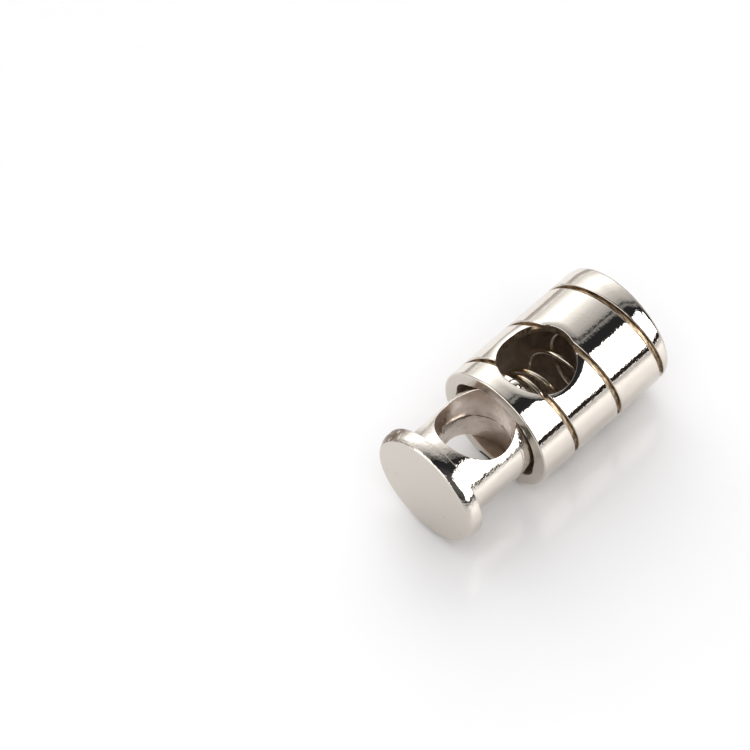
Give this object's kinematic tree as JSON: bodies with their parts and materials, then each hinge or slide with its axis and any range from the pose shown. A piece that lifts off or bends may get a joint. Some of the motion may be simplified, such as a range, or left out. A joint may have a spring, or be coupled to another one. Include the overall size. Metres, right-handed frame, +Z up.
{
  "type": "cord lock",
  "caption": "Metal barrel cord lock: a sprung plunger pressed into a spiral-grooved barrel lines up two cross holes so that a cord can slide through.",
  "frame": {"origin": "bottom centre of the bounding box, on the surface the lock lies on, halfway between the plunger's face and the closed end", "axes": "+X along the barrel axis towards the closed end, +Y across, +Z up; both cross holes stand upright along Z"},
  "size_m": [0.0222, 0.011, 0.011],
  "materials": {
    "barrel_nickel": "polished bright nickel plating on die-cast zinc",
    "plunger_nickel": "polished bright nickel plating on die-cast zinc",
    "spring_steel": "drawn spring wire"
  },
  "bodies": {
    "barrel_body": {"barrel": "barrel_nickel", "spring": "spring_steel"},
    "plunger_body": {"plunger": "plunger_nickel"}
  },
  "joints": [
    {"name": "plunger_slide", "type": "slide", "parent": "barrel_body", "child": "plunger_body", "axis": [1, 0, 0], "range_m": [0, 0.0064], "stiffness_N_per_m": 850, "springref_m": -0.0015, "deforming": ["spring"]}
  ]
}
